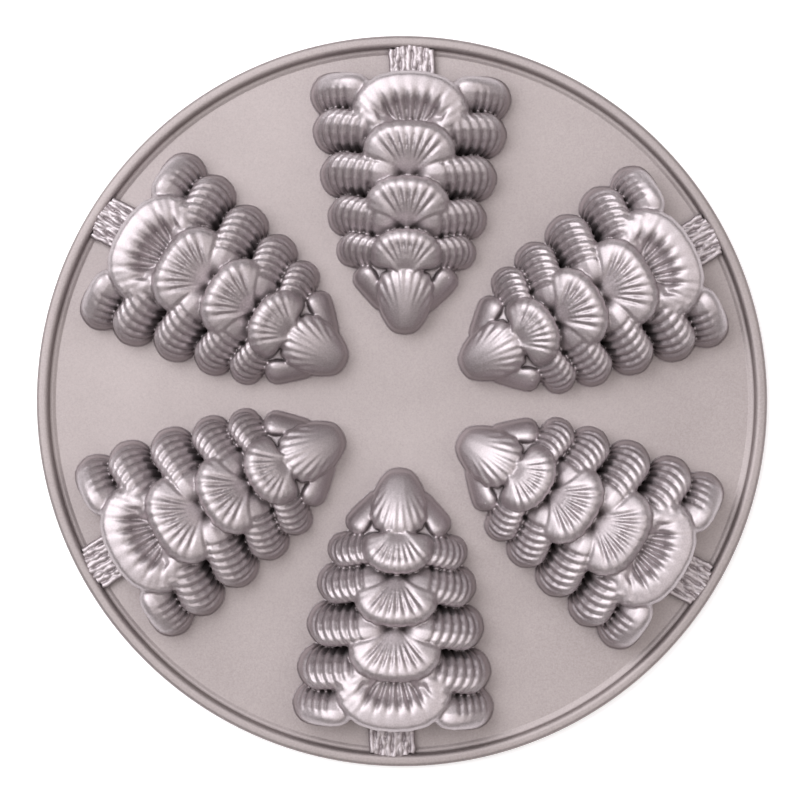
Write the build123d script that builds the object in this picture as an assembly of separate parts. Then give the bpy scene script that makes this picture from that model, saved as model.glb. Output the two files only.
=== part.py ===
from build123d import *
from collections import namedtuple
from math import cos, radians, sin
import os

os.makedirs("parts", exist_ok=True)

# A round cast pan with six tree-shaped cups, modelled bottom up: the flat baking face lies on z = 0, and
# the cups, their trunks and the lip stand up from it. One tree points along +Y. Lengths are millimetres.

# The plate and the lip round it
pan_diameter = 290.0
plate_thickness = 3.0
lip_height = 4.0
lip_edge_width = 2.6
lip_slope_width = 2.6
step_height = 0.6
step_land_width = 0.9
step_slope_width = 0.6

# Where the trees stand, and the wall of their cups
cup_count = 6
tree_foot_gap = 14.2
cup_wall = 2.8

# How high the crests of the boughs reach over the plate
crown_height = 30.0
crown_peak = 43.0
crown_fall = 10.0
crown_fall_length = 60.0
crown_fall_across = 0.42
crown_half_width = 41.0
crown_side_curve = 0.42
tip_share = 0.01

# The boughs: scallops that rise from a hinge to a fluted crest and roll over to a free edge
flute_depth = 1.5
roll_width = 5.0
roll_drop = 5.5
roll_share_limit = 0.45
skirt_run = 1.4
side_sink = 2.0

# The core under the boughs
core_foot = 11.2
core_top = 85.2
core_width_share = 0.75
core_ridge_drop = 7.0
core_eave_drop = 8.5

# The trunks, with ribs of bark along them
trunk_width = 18.2
trunk_height = 4.0
trunk_root = 8.0
trunk_end_gap = 3.6
trunk_end_bow = 2.2
trunk_end_flat = 6.0
bark_ribs = 5
bark_depth = 0.9
bark_groove_width = 2.4
channel_side_wall = 2.2
channel_roof = 2.4
channel_end_wall = 6.0

# across, up: the hinge, from the tree's axis and from its foot line. reach: hinge to the middle of the free
# edge. shoulder, side_reach: how the reach swells beside the middle, and the share of it left at the sides.
# start, end: directions of the two sides, in degrees from across, with the rim of the pan at 90.
# ridges: rounded flutes on the outside. facets: flats of the same scallop in the cup.
# hinge_drop: how far the hinge lies under the crown.
Bough = namedtuple("Bough", "across up reach shoulder side_reach start end ridges facets hinge_drop")

middle_boughs = [
    Bough(0.0, 32.6, 32.2, 0.40, 0.89, 47, 133, 6, 3, 7.0),
    Bough(0.0, 42.3, 23.0, 0.50, 0.86, 28, 152, 6, 3, 7.0),
    Bough(0.0, 62.3, 21.6, 0.45, 0.84, 28, 152, 6, 3, 7.0),
    Bough(0.0, 80.8, 19.4, 0.40, 0.80, 30, 150, 6, 3, 7.0),
]
side_boughs = [
    Bough(19.9, 18.6, 20.4, 0.18, 0.76, -8, 104, 4, 3, 7.0),
    Bough(18.8, 34.0, 19.8, 0.20, 0.78, 0, 112, 4, 3, 7.0),
    Bough(15.4, 51.2, 19.8, 0.20, 0.72, 0, 134, 4, 3, 7.0),
    Bough(13.2, 66.8, 19.2, 0.20, 0.68, 3, 138, 4, 3, 7.0),
    Bough(10.6, 80.8, 19.6, 0.10, 0.72, 10, 96, 4, 3, 7.0),
    Bough(5.0, 98.0, 24.0, 0.05, 0.78, 36, 78, 3, 2, 7.0),
]
top_bough = Bough(0.0, 96.8, 18.7, 0.0, 0.34, -90, 270, 8, 6, 1.0)

plate_top = plate_thickness
pan_radius = pan_diameter / 2
lip_top = plate_top + lip_height
lip_width = lip_edge_width + lip_slope_width
tree_foot_radius = pan_radius - tree_foot_gap
tree_length = top_bough.up + top_bough.reach * top_bough.side_reach
trunk_end = tree_foot_gap - trunk_end_gap


def half_width(y):
    """About half the width of the tree, y being 0 at its foot line and negative towards its top."""
    share = min(1.0, max(tip_share, 1 + y / tree_length))
    return crown_half_width * share**crown_side_curve


def crown(x, y):
    """The height that the crests reach: highest along the middle of the tree, falling to its sides."""
    middle = crown_height - crown_fall * ((y + crown_peak) / crown_fall_length) ** 2
    side = min(1.0, abs(x) / half_width(y))
    return plate_top + middle * (1 - crown_fall_across * side**2)


def polygon(*points):
    return Face(Wire.make_polygon([Vector(*point) for point in points], close=True))


def free_edge(spec, share):
    """How far the free edge lies from the hinge, share of the way from the middle to a side."""
    if spec.end - spec.start == 360:
        front = (1 + cos(radians(180 * share))) / 2
        return spec.reach * (spec.side_reach + (1 - spec.side_reach) * front**2)
    taper = 1 + spec.shoulder - spec.side_reach
    return spec.reach * (1 + spec.shoulder * share**2 - taper * share**4)


def fluted_faces(top, crest, crease, brow, foot):
    """Pleats from the hinge to the crest, the roll over it, and the skirt down to the plate."""
    faces = []
    for k, low in enumerate(crease):
        faces.append(polygon(top, crest[k], low))
        faces.append(polygon(top, low, crest[k + 1]))
        faces.append(polygon(crest[k], brow[k], low))
        faces.append(polygon(low, brow[k + 1], crest[k + 1]))
        faces.append(polygon(low, brow[k], brow[k + 1]))
        faces.append(polygon(brow[k], foot[k], brow[k + 1]))
        faces.append(polygon(brow[k + 1], foot[k], foot[k + 1]))
    return faces


def plain_faces(top, crest, foot):
    faces = []
    for k in range(len(crest) - 1):
        faces.append(polygon(top, crest[k], crest[k + 1]))
        faces.append(polygon(crest[k], foot[k], crest[k + 1]))
        faces.append(polygon(crest[k + 1], foot[k], foot[k + 1]))
    return faces


def bough(spec, inset, fluted):
    """One scallop as a closed solid that stands on the plate, drawn in all round by inset."""
    whole = spec.end - spec.start == 360
    middle = radians(spec.start + spec.end) / 2
    half = radians(spec.end - spec.start) / 2
    shift = 0.0 if whole else inset / sin(half)
    hinge = (spec.across + shift * cos(middle), shift * sin(middle) - spec.up)

    def at(share, run, drop):
        """A point of the scallop, run inside its free edge and drop under the crown."""
        angle = middle + half * share
        edge = free_edge(spec, share) - inset - shift * cos(angle - middle)
        reach = edge - min(run, roll_share_limit * edge)
        x = hinge[0] + reach * cos(angle)
        y = hinge[1] + reach * sin(angle)
        sunk = 0.0 if whole else side_sink * share**4
        return x, y, crown(x, y) - inset - sunk - drop

    sides = spec.ridges - 1 if fluted else spec.facets
    shares = [2 * k / sides - 1 for k in range(sides + 1)]
    crest = [at(share, roll_width, 0) for share in shares]
    foot = [at(share, 0, 0)[:2] + (plate_top,) for share in shares]
    top = hinge + (crown(*hinge) - inset - spec.hinge_drop,)
    if fluted:
        brow = [at(share, skirt_run, roll_drop) for share in shares]
        crease = []
        for before, after in zip(shares, shares[1:]):
            share = (before + after) / 2
            crease.append(at(share, roll_width, flute_depth * free_edge(spec, share) / spec.reach))
        faces = fluted_faces(top, crest, crease, brow, foot)
        profiles = [(foot[k], brow[k], crest[k]) for k in (0, -1)]
    else:
        faces = plain_faces(top, crest, foot)
        profiles = [(foot[k], crest[k]) for k in (0, -1)]
    if whole:
        faces.append(polygon(*foot[:-1]))
    else:
        root = hinge + (plate_top,)
        faces.append(polygon(root, *foot))
        faces += [polygon(root, *profile, top) for profile in profiles]
    return Solid(Shell(faces))


def core(inset):
    """The ridged body under the boughs, which closes every gap between them."""
    ends = []
    for y in (-core_foot, -core_top):
        width = core_width_share * half_width(y) - inset
        ridge = crown(0, y) - core_ridge_drop - inset
        eave = crown(width, y) - core_eave_drop - inset
        outline = [(-width, plate_top), (width, plate_top), (width, eave), (0, ridge), (-width, eave)]
        ends.append([(x, y, z) for x, z in outline])
    front, back = ends
    faces = [polygon(*front), polygon(*back), polygon(front[0], front[1], back[1], back[0])]
    for k in range(1, len(front)):
        following = (k + 1) % len(front)
        faces.append(polygon(front[k], front[following], back[k]))
        faces.append(polygon(front[following], back[following], back[k]))
    return Solid(Shell(faces))


def mirrored(spec):
    return spec._replace(across=-spec.across, start=180 - spec.end, end=180 - spec.start)


def tree(inset, fluted):
    """The whole tree as one solid that stands on the plate."""
    specs = middle_boughs + side_boughs + [mirrored(spec) for spec in side_boughs] + [top_bough]
    return Part() + [core(inset)] + [bough(spec, inset, fluted) for spec in specs]


def trunk_block():
    """The trunk from inside the tree to its bowed end at the lip, with ribs of bark along it."""
    half = trunk_width / 2
    corner = trunk_end - trunk_end_bow
    plan = make_face(Polyline(
        (half, -trunk_root),
        (half, corner),
        (trunk_end_flat / 2, trunk_end),
        (-trunk_end_flat / 2, trunk_end),
        (-half, corner),
        (-half, -trunk_root),
        close=True,
    ))
    block = extrude(Pos(0, 0, plate_top) * plan, trunk_height)
    pitch = trunk_width / bark_ribs
    length = trunk_end + trunk_root
    for k in range(1, bark_ribs):
        x = k * pitch - half
        groove = Polyline((x - bark_groove_width / 2, 0), (x, -bark_depth), (x + bark_groove_width / 2, 0), close=True)
        section = Plane.XZ.offset(-trunk_end) * make_face(groove)
        block -= Pos(0, 0, plate_top + trunk_height) * extrude(section, length)
    return block


def trunk_channel():
    """The room in the trunk, open to the baking face and to the tree's cup."""
    width = trunk_width - 2 * channel_side_wall
    start = -trunk_root
    end = trunk_end - channel_end_wall
    room = plate_top + trunk_height - channel_roof
    return Pos(0, (start + end) / 2, room / 2) * Box(width, end - start, room)


def rim():
    """The lip on the plate's edge, with its slope and a low step inside it."""
    slope_foot = plate_top + step_height
    land_end = pan_radius - lip_width - step_land_width
    profile = Polyline(
        (pan_radius, plate_top),
        (pan_radius, lip_top),
        (pan_radius - lip_edge_width, lip_top),
        (pan_radius - lip_width, slope_foot),
        (land_end, slope_foot),
        (land_end - step_slope_width, plate_top),
        close=True,
    )
    return revolve(Plane.XZ * make_face(profile), Axis.Z)


def placed(shape, k):
    return Rot(0, 0, k * 360 / cup_count) * Pos(0, tree_foot_radius, 0) * shape


outside = tree(0, True)
inside = tree(cup_wall, False)
channel = trunk_channel()
mouths = inside.faces().group_by(Axis.Z)[0]
mouth = Part() + [extrude(face, plate_thickness, dir=(0, 0, -1)) for face in mouths] + channel
pan_rim = rim()
cup = outside - inside - channel
trunk = trunk_block() - outside - channel - Pos(0, -tree_foot_radius, 0) * pan_rim

deck = extrude(Circle(pan_radius), plate_thickness)
for k in range(cup_count):
    deck -= placed(mouth, k)
    export_step(placed(cup, k), f"parts/tree_cup_{k + 1}.step")
    export_step(placed(trunk, k), f"parts/trunk_cup_{k + 1}.step")
export_step(deck, "parts/deck.step")
export_step(pan_rim, "parts/rim.step")
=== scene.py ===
from math import atan2, cos, hypot, pi, radians, sin, sqrt, tan

import bpy
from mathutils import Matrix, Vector


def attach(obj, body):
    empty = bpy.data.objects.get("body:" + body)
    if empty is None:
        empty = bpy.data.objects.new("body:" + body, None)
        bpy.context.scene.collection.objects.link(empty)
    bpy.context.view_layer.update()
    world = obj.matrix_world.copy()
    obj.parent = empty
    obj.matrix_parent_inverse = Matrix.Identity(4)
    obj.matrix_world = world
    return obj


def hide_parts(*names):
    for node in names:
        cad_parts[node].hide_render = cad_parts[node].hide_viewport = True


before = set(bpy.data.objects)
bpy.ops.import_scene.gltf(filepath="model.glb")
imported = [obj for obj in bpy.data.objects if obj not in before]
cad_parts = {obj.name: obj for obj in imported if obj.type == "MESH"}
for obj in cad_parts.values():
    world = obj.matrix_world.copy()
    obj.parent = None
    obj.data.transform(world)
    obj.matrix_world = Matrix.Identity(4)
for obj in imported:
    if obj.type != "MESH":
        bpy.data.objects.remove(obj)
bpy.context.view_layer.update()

# A cast cake pan lying on its baking face. Lengths are millimetres until a point is handed to Blender.
MM = 0.001
PAN_RADIUS = 144.95
PLATE_TOP = 3.0
LIP_TOP = 7.0
TREES = 6
FOOT_RADIUS = 130.8
TREE_LENGTH = 103.2
WALL = 2.8
WALL_DRAFT = 0.02
TRUNK_ROOM = 6.9
BARK_RIBS = 8
TREE_VOXEL = 0.42
ROOM_VOXEL = 0.9
FACES_KEPT = 0.5
STEPS_ROUND = 288

# The picture: millimetres of the pan to a pixel, pixels across, how far the camera is turned, in degrees, and
# where it looks, in pixels right of and below the pan's centre
PIXEL = 0.397
PICTURE = 800
CAMERA_TURN = 1.67
CAMERA_RIGHT = -1.95
CAMERA_DOWN = 1.1
CAMERA_DISTANCE = 1.45


# ---- picking and joining ----

def deselect():
    if bpy.context.mode != "OBJECT":
        bpy.ops.object.mode_set(mode="OBJECT")
    bpy.ops.object.select_all(action="DESELECT")


def pick(*objects):
    deselect()
    for item in objects:
        item.select_set(True)
    bpy.context.view_layer.objects.active = objects[0]


def settle(item):
    pick(item)
    bpy.ops.object.transform_apply(location=True, rotation=True, scale=True)
    return item


def joined(items, name):
    pick(*items)
    if len(items) > 1:
        bpy.ops.object.join()
    item = bpy.context.object
    item.name = name
    return item


def apply_modifier(item, kind, **settings):
    pick(item)
    modifier = item.modifiers.new(kind.title(), kind)
    for key, value in settings.items():
        setattr(modifier, key, value)
    bpy.ops.object.modifier_apply(modifier=modifier.name)
    return item


def edit(item):
    pick(item)
    bpy.ops.object.mode_set(mode="EDIT")
    bpy.ops.mesh.select_all(action="SELECT")


def done():
    bpy.ops.object.mode_set(mode="OBJECT")


def edit_chosen(item, kind, chosen):
    """Goes into edit mode with only those points or faces selected that chosen picks."""
    edit(item)
    bpy.ops.mesh.select_mode(type=kind)
    bpy.ops.mesh.select_all(action="DESELECT")
    done()
    for part in item.data.vertices if kind == "VERT" else item.data.polygons:
        part.select = chosen(part)
    bpy.ops.object.mode_set(mode="EDIT")


def outwards(item):
    edit(item)
    bpy.ops.mesh.normals_make_consistent(inside=False)
    done()


def cut_below(item, height):
    """Cuts off what lies under a height and closes the cut."""
    edit(item)
    bpy.ops.mesh.bisect(plane_co=(0, 0, height * MM), plane_no=(0, 0, 1), clear_inner=True, use_fill=True,
                        threshold=0.0000001)
    done()


# ---- the relief of one tree: x across it, y = 0 at its foot and falling towards its top ----

def half_width(y):
    return 41.0 * max(0.01, min(1.0, 1 + y / TREE_LENGTH)) ** 0.42


def crown(x, y):
    """The height that the crests of the boughs reach."""
    middle = 30.0 - 10.0 * ((43.0 + y) / 60.0) ** 2
    side = min(1.0, abs(x) / half_width(y))
    return PLATE_TOP + middle * (1 - 0.42 * side ** 2)


# The middle boughs: up, reach, swell beside the middle, reach left at the sides, first and last direction,
# flutes, radius of the rolled edge, depth of the creases at the free edge
MIDDLE_BOUGHS = [
    (33.0, 32.0, 0.16, 0.76, 38, 142, 9, 7.0, 0.25),
    (42.6, 21.8, 0.26, 0.92, 35, 145, 9, 5.6, 0.5),
    (63.0, 20.6, 0.22, 0.88, 36, 144, 8, 5.2, 0.5),
    (82.0, 19.0, 0.10, 0.78, 38, 142, 9, 4.6, 0.5),
]
# The side boughs, each a roll that lies across the tree. For both its ends: across, up, radius, depth under
# the crown. Then how many creases it has, and the share of their depth left on the foot side.
SIDE_BOUGHS = [
    ((22.6, 10.4, 8.4, 1.2), (30.4, 10.8, 8.7, 1.6), 5, 0.1),
    ((12.0, 26.4, 8.8, 4.6), (28.6, 24.9, 9.1, 1.2), 6, 0.5),
    ((11.0, 43.5, 8.8, 3.8), (25.4, 42.0, 9.0, 1.0), 6, 0.5),
    ((9.6, 60.7, 8.0, 3.4), (22.8, 58.0, 8.1, 1.0), 6, 0.5),
    ((10.5, 73.0, 6.2, 4.0), (20.4, 71.2, 6.7, 1.0), 5, 0.5),
    ((9.4, 91.0, 3.2, 10.0), (15.8, 82.2, 4.6, 3.4), 0, 0.4),
]
SIDE_TILT = 0.6
SIDE_CREASE = 2.2

# The dome at the tree's top: y, half its width there
TOP_DOME = [
    (-77.6, 0.0), (-77.6, 3.4), (-78.6, 7.2), (-81.4, 10.2),
    (-86.0, 11.6), (-91.5, 10.8), (-97.0, 8.4), (-101.0, 5.8),
]
DOME_FLUTES = 10
DOME_CREASE = 0.75

# The body under the boughs: distance up the tree, share of its half width outside, the same share in the room
# under it, and how far its eave lies under the crown
CORE_ROWS = [
    (12.0, 0.5, 0.8, 11.0),
    (30.0, 0.5, 0.8, 11.0),
    (48.0, 0.5, 0.8, 11.0),
    (66.0, 0.5, 0.8, 11.0),
    (80.0, 0.62, 0.74, 10.2),
    (94.0, 0.46, 0.52, 10.2),
]
CORE_RIDGE_DROP = 9.4
ROOM_EAVE = 5.5


def tube(points, radii, inset):
    """A tapered tube with rounded ends, drawn in by inset."""
    bpy.ops.curve.primitive_nurbs_path_add(location=(0, 0, 0))
    path = bpy.context.object
    spline = path.data.splines[0]
    spline.points.add(len(points) - len(spline.points))
    for point, (x, y, z), radius in zip(spline.points, points, radii):
        point.co = (x * MM, y * MM, z * MM, 1)
        point.radius = max(0.0, radius - inset)
    spline.use_endpoint_u = True
    spline.order_u = 3
    spline.resolution_u = 5
    path.data.bevel_depth = MM
    path.data.bevel_resolution = 5
    path.data.use_fill_caps = True
    return path


def skin(items, name, voxel):
    """Joins tubes into one closed skin of small even faces."""
    body = as_mesh(items, name)
    apply_modifier(body, "REMESH", mode="VOXEL", voxel_size=voxel * MM)
    return apply_modifier(body, "SMOOTH", factor=0.5, iterations=3)


def between(value, low, high):
    """Rises smoothly from 0 to 1 as a value goes from low to high."""
    share = min(1.0, max(0.0, (value - low) / (high - low)))
    return share * share * (3 - 2 * share)


def fold(phase, swell=0.8):
    """The profile of a row of pleats: 1 in the sharp crease at each whole number, 0 on the crest between."""
    return 1 - abs(sin(pi * phase)) ** swell


def press(body, depth_at):
    """Presses creases into a skin, to the depth that depth_at gives for a point."""
    moves = [vertex.normal * depth_at(vertex.co / MM) for vertex in body.data.vertices]
    for vertex, move in zip(body.data.vertices, moves):
        vertex.co -= move * MM
    return body


def middle_bough(up, reach, swell, ends, first, last, flutes, roll, scallop, inset, voxel):
    """A fan of flutes from a hinge on the tree's axis that rise to a crest and roll over at the free edge."""
    made = []
    middle, half = radians(first + last) / 2, radians(last - first) / 2

    def free_edge(share):
        return reach * (1 + swell * share ** 2 - (1 + swell - ends) * share ** 4)

    rods = 2 * flutes - 1
    for k in range(rods):
        share = (2 * k + 1) / rods - 1
        angle = middle + half * share
        length = free_edge(share)
        cell = length * tan(half / flutes)
        # distance inside the free edge, radius, depth under the crown
        stops = [
            (length, 1.0, 0.42 * reach),
            (0.5 * (length + 13), 0.5 * cell, 0.31 * reach),
            (13.0, (1 - 13.0 / length) * cell * 1.3, 0.16 * reach),
            (9.5, (1 - 9.5 / length) * cell * 1.6, 1.4),
            (6.0, max(roll * 0.9, cell), 0.0),
            (roll * 0.75, roll, 0.4),
            (0.0, roll * 0.7, 1.8),
            (0.0, 0.0, 1.8),
        ]
        points, radii = [], []
        for run, radius, fall in stops:
            run = min(run, length)
            x, y = (length - run) * cos(angle), (length - run) * sin(angle) - up
            top = crown(x, y) - fall - 2.4 * share ** 4
            points.append((x, y, top - (radius if run > 0.1 else roll * 0.7)))
            radii.append(max(radius, 0.7) if run > 0.1 else radius)
        made.append(tube(points, radii, inset))

    def crease(place):
        x, y = place.x, place.y + up
        share = (atan2(y, x) - middle) / half
        if y < 0.2 or abs(share) > 1 - 0.5 / flutes:
            return 0.0
        away = hypot(x, y)
        run = free_edge(share) - away
        pitch = 2 * half / flutes * away
        depth = scallop + 0.085 * reach * between(run / reach, 0.16, 0.5)
        return fold(flutes * (share + 1) / 2) * min(depth, 0.7 * pitch)

    body = skin(made, "middle", voxel)
    return body if inset else press(body, crease)


def side_bough(inner, outer, creases, left, inset, voxel):
    """A roll that lies across the tree, tilted towards the tree's top, with creases that bow outwards."""
    start, end = Vector((inner[0], -inner[1])), Vector((outer[0], -outer[1]))
    length = (end - start).length
    along = (end - start) / length
    footwards = Vector((-along.y, along.x))

    def station(share):
        """A point of the roll's axis, its radius and the height of its axis."""
        place = start.lerp(end, share)
        radius = inner[2] + (outer[2] - inner[2]) * share
        depth = inner[3] + (outer[3] - inner[3]) * share
        droop = 22.0 * max(0.0, abs(place.x) / half_width(place.y) - 0.55) ** 2
        return place, radius, crown(place.x, place.y) - depth - droop - 1.15 * radius

    # share of the way along the axis, distance past its end in radii, share of the radius
    stops = [
        (0, -0.98, 0.0), (0, -0.9, 0.42), (0, -0.55, 0.86), (0, 0, 1.0), (0.5, 0, 1.0),
        (1, 0, 1.0), (1, 0.55, 0.86), (1, 0.9, 0.42), (1, 0.98, 0.0),
    ]
    points, radii = [], []
    for share, past, part in stops:
        place, radius, height = station(share)
        place = place + along * past * radius
        points.append((place.x, place.y, height))
        radii.append(part * radius)
    body = skin([tube(points, radii, inset)], "side", voxel)

    def seat(place):
        """How far along the roll and across it a point lies, and the roll's radius there."""
        spot = Vector((place.x, place.y)) - start
        far = spot.dot(along)
        share = min(1.0, max(0.0, far / length))
        return far, spot.dot(footwards), inner[2] + (outer[2] - inner[2]) * share

    for vertex in body.data.vertices:
        vertex.co.z += SIDE_TILT * seat(vertex.co / MM)[1] * MM

    def line(step, across):
        """How far along the roll the crease lies that is step of the way out, across being -1 to 1."""
        bow = outer[2] * (0.55 + 0.45 * step ** 2) * (1 - sqrt(max(0.0, 1 - across ** 2)))
        return (length + outer[2]) * (0.034 + 1.05 * step * (1 - 0.17 * step)) - bow

    def crease(place):
        far, across, radius = seat(place)
        across = min(0.98, max(-0.98, across / radius))
        low, high = 0.0, 1.1
        for halving in range(14):
            step = (low + high) / 2
            low, high = (step, high) if line(step, across) < far else (low, step)
        phase = creases * step
        depth = SIDE_CREASE * (left + (1 - left) * between(-across, -0.6, 0.5)) * between(phase, 0.3, 1.0)
        return fold(phase, 0.7) * depth * (1 - between(step, 1.0, 1.06))

    return body if inset else press(body, crease)


def top_bough(inset, voxel):
    """The domed scallop at the tree's top, with fine flutes on it that fade out towards its tip."""
    seat, flatten, slope, height = 12.0, 0.62, 0.3, 19.4
    points = [(0, y, seat) for y, wide in TOP_DOME] + [(0, -102.8, seat), (0, -103.1, seat)]
    radii = [wide for y, wide in TOP_DOME] + [3.4, 0.0]
    body = skin([tube(points, radii, inset)], "top", voxel)
    for vertex in body.data.vertices:
        y, z = vertex.co.y / MM, vertex.co.z / MM
        vertex.co.z = (height + flatten * (z - seat) + slope * (y + 80)) * MM

    def crease(place):
        x, y = place.x, place.y + 103.5
        share = (atan2(y, x) - radians(90)) / radians(44)
        if y < 1 or abs(share) > 1:
            return 0.0
        return fold(DOME_FLUTES * (share + 1) / 2) * DOME_CREASE * between(hypot(x, y), 6.0, 20.0)

    return body if inset else press(body, crease)


def core(inset, floor):
    """The body under the boughs that closes the gaps between them: a five-sided face drawn out by rows."""
    bpy.ops.mesh.primitive_circle_add(vertices=5, radius=1, fill_type="NGON", location=(0, 0, 0))
    body = bpy.context.object
    for k, (up, share, room_share, drop) in enumerate(CORE_ROWS):
        first = len(body.data.vertices) - 5
        if k:
            # picked by its points, because a ring drawn out in face mode numbers its points in another order
            edit_chosen(body, "VERT", lambda vertex: vertex.index >= first)
            bpy.ops.mesh.extrude_region_move()
            done()
            first = len(body.data.vertices) - 5
        wide = (room_share if inset else share) * half_width(-up)
        ridge = crown(0, -up) - CORE_RIDGE_DROP - inset
        eave = ROOM_EAVE if inset else crown(wide, -up) - drop
        ring = [(-wide, floor - 1.5), (wide, floor - 1.5), (wide, eave), (0, ridge), (-wide, eave)]
        for n, (x, z) in enumerate(ring):
            body.data.vertices[first + n].co = (x * MM, -up * MM, z * MM)
    outwards(body)
    return body


def mirrored_copy(item):
    pick(item)
    bpy.ops.object.duplicate()
    twin = bpy.context.object
    twin.scale.x = -1
    settle(twin)
    edit(twin)
    bpy.ops.mesh.flip_normals()
    done()
    return twin


def as_mesh(items, name):
    pick(*items)
    bpy.ops.object.convert(target="MESH")
    return joined(list(bpy.context.selected_objects), name)


def stand_on_walls(body, floor):
    """Takes off the undersides of the rounded boughs and drops a drafted wall from their edge to a floor."""
    edit_chosen(body, "FACE", lambda face: face.normal.z < 0.08)
    bpy.ops.mesh.delete(type="FACE")
    bpy.ops.mesh.select_mode(type="EDGE")
    bpy.ops.mesh.select_all(action="DESELECT")
    bpy.ops.mesh.select_non_manifold(extend=False)
    bpy.ops.mesh.extrude_region_move()
    base = (0, -48 * MM, (floor - 2.5) * MM)
    bpy.ops.transform.resize(value=(1, 1, 0), center_override=base)
    bpy.ops.transform.resize(value=(1 + 1.4 * WALL_DRAFT, 1 + WALL_DRAFT, 1), center_override=base)
    bpy.ops.mesh.fill_holes(sides=0)
    done()
    outwards(body)


def trunk_room(floor):
    """The channel under the trunk, open to the baking face and to the tree's cup."""
    length, roof, below = 16.6, 4.6, 2.5
    bpy.ops.mesh.primitive_cube_add(size=1, location=(0, -3.7 * MM, (roof + floor - below) / 2 * MM))
    channel = bpy.context.object
    channel.scale = (2 * TRUNK_ROOM * MM, length * MM, (roof - floor + below) * MM)
    return settle(channel)


def ease(body, chosen, rounds):
    """Smooths the part of a body whose points are chosen by place and normal."""
    edit_chosen(body, "VERT", lambda vertex: chosen(vertex.co / MM, vertex.normal))
    bpy.ops.mesh.vertices_smooth(factor=0.5, repeat=rounds)
    done()


def tree_relief(inset, floor, voxel):
    """The whole tree, drawn in by inset, as one closed body whose wall meets the floor in a fillet."""
    middle = [middle_bough(*spec, inset, voxel) for spec in MIDDLE_BOUGHS]
    rolls = SIDE_BOUGHS[:-1] if inset else SIDE_BOUGHS
    side = joined([side_bough(*spec, inset, voxel) for spec in rolls], "side")
    body = joined(middle + [side, mirrored_copy(side), top_bough(inset, voxel), core(inset, floor)], "tree")
    apply_modifier(body, "REMESH", mode="VOXEL", voxel_size=voxel * MM)
    apply_modifier(body, "SMOOTH", factor=0.5, iterations=1)
    stand_on_walls(body, floor)
    bpy.ops.mesh.primitive_cube_add(size=1, location=(0, -50 * MM, (floor - 2.0) * MM))
    apron = bpy.context.object
    apron.scale = (96 * MM, 122 * MM, 3.7 * MM)
    extra = [trunk_room(floor)] if inset else []
    body = joined([body, settle(apron)] + extra, "tree")
    apply_modifier(body, "REMESH", mode="VOXEL", voxel_size=voxel * MM)
    apply_modifier(body, "SMOOTH", factor=0.5, iterations=2)
    if not inset:
        ease(body, lambda place, normal: normal.z > 0.2 and place.y > -8.5 and place.z > 10, 14)
        ease(body, lambda place, normal: floor - 0.6 < place.z < floor + 1.6, 10)
    cut_below(body, floor)
    return body


def placed(item, k, name):
    """A copy with its own mesh, turned to the tree number k."""
    pick(item)
    bpy.ops.object.duplicate()
    twin = bpy.context.object
    twin.name = name
    angle = radians(k * 360 / TREES)
    twin.rotation_euler = (0, 0, angle)
    twin.location = (-sin(angle) * FOOT_RADIUS * MM, cos(angle) * FOOT_RADIUS * MM, 0)
    settle(twin)
    return twin


def without(item, *cutters):
    for cutter in cutters:
        apply_modifier(item, "BOOLEAN", operation="DIFFERENCE", solver="MANIFOLD", object=cutter)
    return item


def remove(*items):
    for item in items:
        bpy.data.objects.remove(item)


# ---- the plate, the lip and the trunks ----

def turned(name, profile):
    """A ring spun from its outline: (radius, height) points."""
    bpy.ops.mesh.primitive_circle_add(vertices=len(profile), radius=1, fill_type="NOTHING",
                                      location=(0, 0, 0))
    item = bpy.context.object
    item.name = name
    for vertex, (radius, height) in zip(item.data.vertices, profile):
        vertex.co = (radius * MM, 0, height * MM)
    edit(item)
    bpy.ops.mesh.spin(steps=STEPS_ROUND, angle=2 * pi, center=(0, 0, 0), axis=(0, 0, 1))
    bpy.ops.mesh.select_all(action="SELECT")
    bpy.ops.mesh.remove_doubles(threshold=0.00001)
    done()
    outwards(item)
    return item


def arc(centre, radius, first, last, steps):
    """Points on a rounded corner of an outline."""
    angles = [radians(first + (last - first) * n / steps) for n in range(steps + 1)]
    return [(centre[0] + radius * cos(a), centre[1] + radius * sin(a)) for a in angles]


def make_rim():
    """The lip round the edge, with a bead along its top and a low step inside it."""
    outer = PAN_RADIUS
    profile = [(outer, PLATE_TOP)]
    profile += arc((outer - 1.5, LIP_TOP - 1.5), 1.5, 0, 90, 6)
    profile += arc((outer - 2.8, LIP_TOP - 2.1), 2.1, 90, 172, 8)
    # distance inside the edge, height over the plate
    step = [(4.95, 1.0), (5.3, 0.66), (5.9, 0.56), (6.4, 0.46), (6.9, 0.14), (7.4, 0.0)]
    profile += [(outer - inside, PLATE_TOP + height) for inside, height in step]
    return turned("pan_lip", profile)


def make_deck():
    bpy.ops.mesh.primitive_cylinder_add(vertices=STEPS_ROUND, radius=PAN_RADIUS * MM, depth=PLATE_TOP * MM,
                                        location=(0, 0, PLATE_TOP / 2 * MM))
    deck = bpy.context.object
    deck.name = "pan_plate"
    return settle(deck)


def bark_rib(k):
    """One wandering rib of bark from inside the tree's foot to the bowed end of the trunk."""
    start, rounds = -3.0, 10
    x = -8.0 + 16.0 * k / (BARK_RIBS - 1)
    end = 10.4 - 2.0 * (x / 9.0) ** 2
    points, radii = [], []
    for n in range(rounds + 1):
        share = n / rounds
        wave = 0.3 * sin(2.6 * k + 5.6 * share) + 0.14 * sin(4.1 * k + 14.0 * share)
        points.append((x + wave, start + (end - start) * share, 5.75 + 0.2 * sin(5 * k + 13 * share)))
        radii.append(1.22 + 0.2 * sin(3.3 * k + 17.0 * share))
    return tube(points, radii, 0.0)


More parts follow.
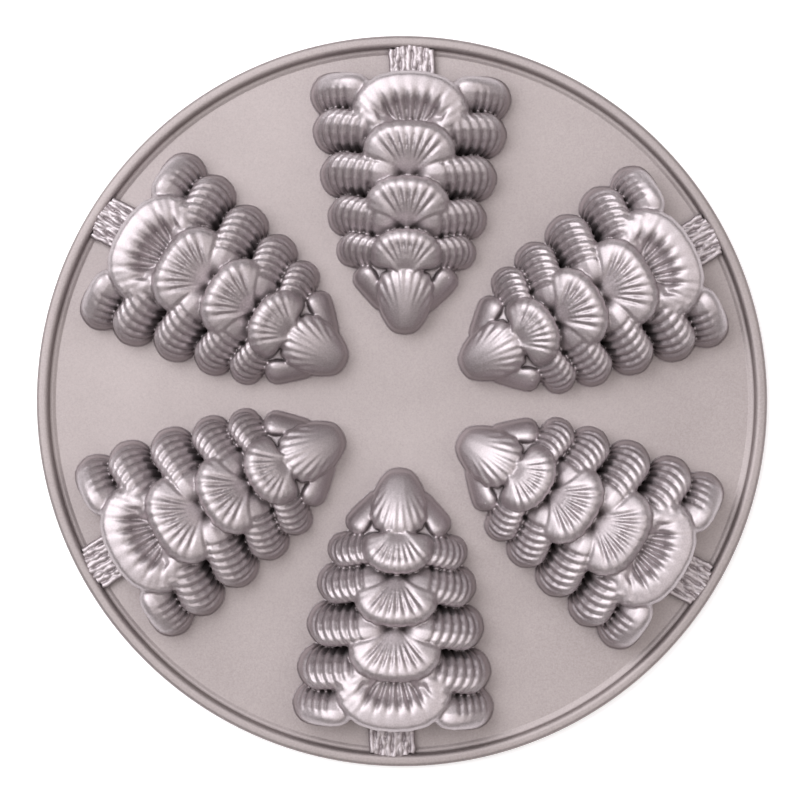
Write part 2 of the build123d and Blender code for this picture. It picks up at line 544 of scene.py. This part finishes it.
def make_trunk():
    """Ribs of bark over a short log, from the tree's foot to the lip."""
    ribs = as_mesh([bark_rib(k) for k in range(BARK_RIBS)], "bark")
    half, back, height = 8.9, -3, 5.9
    bpy.ops.mesh.primitive_cylinder_add(vertices=64, radius=17.0 * MM, depth=height * MM,
                                        location=(0, -6.9 * MM, height / 2 * MM))
    log = settle(bpy.context.object)
    for side in (-1, 1):
        edit(log)
        bpy.ops.mesh.bisect(plane_co=(side * half * MM, 0, 0), plane_no=(side, 0, 0), clear_outer=True,
                            use_fill=True)
        done()
    edit(log)
    bpy.ops.mesh.bisect(plane_co=(0, back * MM, 0), plane_no=(0, 1, 0), clear_inner=True, use_fill=True)
    done()
    trunk = joined([ribs, log], "trunk")
    apply_modifier(trunk, "REMESH", mode="VOXEL", voxel_size=0.28 * MM)
    apply_modifier(trunk, "SMOOTH", factor=0.5, iterations=2)
    cut_below(trunk, PLATE_TOP)
    return trunk


def smooth(item, angle=None):
    pick(item)
    if angle is None:
        bpy.ops.object.shade_smooth()
    else:
        bpy.ops.object.shade_smooth_by_angle(angle=radians(angle))


def level_faces_flat(item):
    """Shades the level faces flat, so that no shading spreads over them from the mouths' edges."""
    edit_chosen(item, "FACE", lambda face: abs(face.normal.z) > 0.9999)
    bpy.ops.mesh.faces_shade_flat()
    done()


def make_pan():
    """Every piece of the pan, by its name, with the node that it stands for."""
    tree = apply_modifier(tree_relief(0.0, PLATE_TOP, TREE_VOXEL), "DECIMATE", ratio=FACES_KEPT)
    room = tree_relief(WALL, 0.0, ROOM_VOXEL)
    edit_chosen(room, "FACE", lambda face: face.center.z < 0.0001 and face.normal.z < -0.9)
    bpy.ops.mesh.extrude_region_move(TRANSFORM_OT_translate={"value": (0, 0, -0.001)})
    done()
    trunk = make_trunk()
    without(tree, room)
    without(trunk, room)
    deck = make_deck()
    pieces = {"pan_lip": (make_rim(), "rim")}
    for k in range(TREES):
        cutter = placed(room, k, "cutter")
        without(deck, cutter)
        remove(cutter)
        cup = placed(tree, k, f"tree_{k + 1}")
        smooth(cup)
        pieces[cup.name] = (cup, f"tree_cup_{k + 1}")
        bark = placed(trunk, k, f"trunk_{k + 1}")
        smooth(bark)
        pieces[bark.name] = (bark, f"trunk_cup_{k + 1}")
    remove(tree, room, trunk)
    pieces["pan_plate"] = (deck, "deck")
    smooth(deck, 35)
    level_faces_flat(deck)
    smooth(pieces["pan_lip"][0], 40)
    return pieces


# ---- materials ----

class Socket:
    """A node's output that can be used in sums."""

    def __init__(self, material, link):
        self.material = material
        self.link = link

    def sum(self, operation, *values):
        return self.material.node("ShaderNodeMath", {"operation": operation}, dict(enumerate(values)))

    def __add__(self, other):
        return self.sum("ADD", self, other)

    def __radd__(self, other):
        return self.sum("ADD", other, self)

    def __sub__(self, other):
        return self.sum("SUBTRACT", self, other)

    def __rsub__(self, other):
        return self.sum("SUBTRACT", other, self)

    def __mul__(self, other):
        return self.sum("MULTIPLY", self, other)

    def __rmul__(self, other):
        return self.sum("MULTIPLY", other, self)


class Finish:
    """A material and the one way its nodes are made."""

    def __init__(self, name):
        self.material = bpy.data.materials.new(name)
        self.material.use_nodes = True
        self.tree = self.material.node_tree
        self.shader = self.tree.nodes["Principled BSDF"]

    def node(self, kind, settings=None, values=None, output=0):
        made = self.tree.nodes.new(kind)
        for key, value in (settings or {}).items():
            setattr(made, key, value)
        for key, value in (values or {}).items():
            self.put(made.inputs[key], value)
        return Socket(self, made.outputs[output])

    def put(self, socket, value):
        if isinstance(value, Socket):
            self.tree.links.new(value.link, socket)
        else:
            socket.default_value = value

    def set(self, **values):
        for key, value in values.items():
            self.put(self.shader.inputs[key.replace("_", " ")], value)


def cast_metal(name, light, cool, roughness, sparkle, deepest_shade_share):
    """Warm grey baked coating on cast aluminium, satin, with a fine sparkle in it, and painted shade that
    darkens its recesses and creases.
    """
    finish = Finish(name)
    place = finish.node("ShaderNodeTexCoord", output=3)
    grain = finish.node("ShaderNodeTexNoise", {}, {"Vector": place, "Scale": 1500.0, "Detail": 2.0})
    cloud = finish.node("ShaderNodeTexNoise", {}, {"Vector": place, "Scale": 22.0, "Detail": 3.0})
    speck = finish.node("ShaderNodeTexNoise", {}, {"Vector": place, "Scale": 3600.0, "Detail": 1.0})
    open_to_light = finish.node("ShaderNodeAmbientOcclusion", {"samples": 8}, {"Distance": 0.006}, output=1)
    curve = finish.node("ShaderNodeNewGeometry", output=7)

    # light and cool scale the coating's own warm grey; how they differ between the two copies is painted
    # light and shade
    def tint(red, green, blue):
        return red * light, green * light * (1 + 0.3 * cool), blue * light * (1 + cool), 1

    def darkening(value, low, high):
        limits = {"Value": value, "From Min": low, "From Max": high, "To Min": deepest_shade_share, "To Max": 1.0}
        return finish.node("ShaderNodeMapRange", {}, limits)

    def mixed(share, low, high):
        return finish.node("ShaderNodeMix", {"data_type": "RGBA"}, {0: share, 6: low, 7: high}, output=2)

    patches = (cloud - 0.5) * 0.7 + (grain - 0.5) * 1.6 + 0.5
    bare = mixed(patches, tint(0.37, 0.322, 0.320), tint(0.53, 0.470, 0.468))
    # painted shade: the colour turns towards a dark brown where little light reaches and in sharp creases
    painted_shade = darkening(open_to_light, 0.1, 0.6) * darkening(curve, 0.40, 0.49)
    colour = mixed(painted_shade, (0.055, 0.043, 0.040, 1), bare)
    finish.set(Base_Color=colour, Metallic=1.0, Roughness=roughness + (grain - 0.5) * 0.2)
    relief = {"Strength": sparkle, "Distance": 0.0001, "Height": grain + speck * 0.6}
    finish.set(Normal=finish.node("ShaderNodeBump", {}, relief))
    return finish.material


def floor_finish():
    finish = Finish("pale_floor")
    finish.set(Base_Color=(0.92, 0.92, 0.93, 1), Roughness=0.8)
    finish.set(Emission_Color=(1, 1, 1, 1), Emission_Strength=0.35)
    return finish.material


# ---- stage, light and camera ----

def make_floor():
    bpy.ops.mesh.primitive_plane_add(size=8, location=(0, 0, -0.0002))
    floor = bpy.context.object
    floor.name = "floor"
    floor.data.materials.append(floor_finish())


def lamp(name, place, size, power, colour):
    data = bpy.data.lights.new(name, "AREA")
    data.shape = "SQUARE"
    data.size = size
    data.energy = power
    data.color = colour
    item = bpy.data.objects.new(name, data)
    bpy.context.scene.collection.objects.link(item)
    item.location = place
    item.rotation_euler = (-Vector(place)).to_track_quat("-Z", "Y").to_euler()


def make_light():
    cold, warm = (0.97, 0.98, 1.0), (1.0, 0.97, 0.95)
    lamp("overhead", (-0.55, 0.25, 2.2), 1.9, 16.5, cold)
    lamp("left", (-1.0, 0.58, 1.55), 1.5, 26, cold)
    lamp("right", (1.15, 0.1, 1.55), 1.4, 10, warm)
    lamp("front", (0.0, -1.15, 1.55), 1.4, 6, warm)
    lamp("back", (0.0, 1.15, 1.55), 1.4, 6, cold)
    world = bpy.data.worlds.new("studio")
    bpy.context.scene.world = world
    world.use_nodes = True
    background = world.node_tree.nodes["Background"]
    background.inputs["Color"].default_value = (1.0, 0.9, 0.86, 1)
    background.inputs["Strength"].default_value = 0.17


def make_camera():
    """Looks straight down, turned a little as the pan is in the picture."""
    data = bpy.data.cameras.new("camera")
    data.sensor_width = 36.0
    data.lens = data.sensor_width * CAMERA_DISTANCE / (PICTURE * PIXEL * MM)
    camera = bpy.data.objects.new("camera", data)
    bpy.context.scene.collection.objects.link(camera)
    turn = radians(CAMERA_TURN)
    right, down = CAMERA_RIGHT * PIXEL * MM, CAMERA_DOWN * PIXEL * MM
    camera.location = (right * cos(turn) - down * sin(turn), right * sin(turn) + down * cos(turn),
                       CAMERA_DISTANCE + 5 * MM)
    camera.rotation_euler = (0, 0, turn)
    bpy.context.scene.camera = camera


# one coating in two copies: the trees' copy is painted lighter and a little cooler as painted light, the
# plate's copy darker as painted shade; their roughness and sparkle differ as finish
lit_tree_metal = cast_metal("lit_tree_metal", 1.13, 0.06, 0.52, 0.12, 0.2)
shaded_plate_metal = cast_metal("shaded_plate_metal", 0.88, 0.0, 0.6, 0.4, 0.8)
for piece, node in make_pan().values():
    piece.data.materials.clear()
    piece.data.materials.append(shaded_plate_metal if node in ("deck", "rim") else lit_tree_metal)
    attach(piece, "root")
    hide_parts(node)
make_floor()
make_light()
make_camera()
bpy.context.scene.view_settings.view_transform = "Standard"
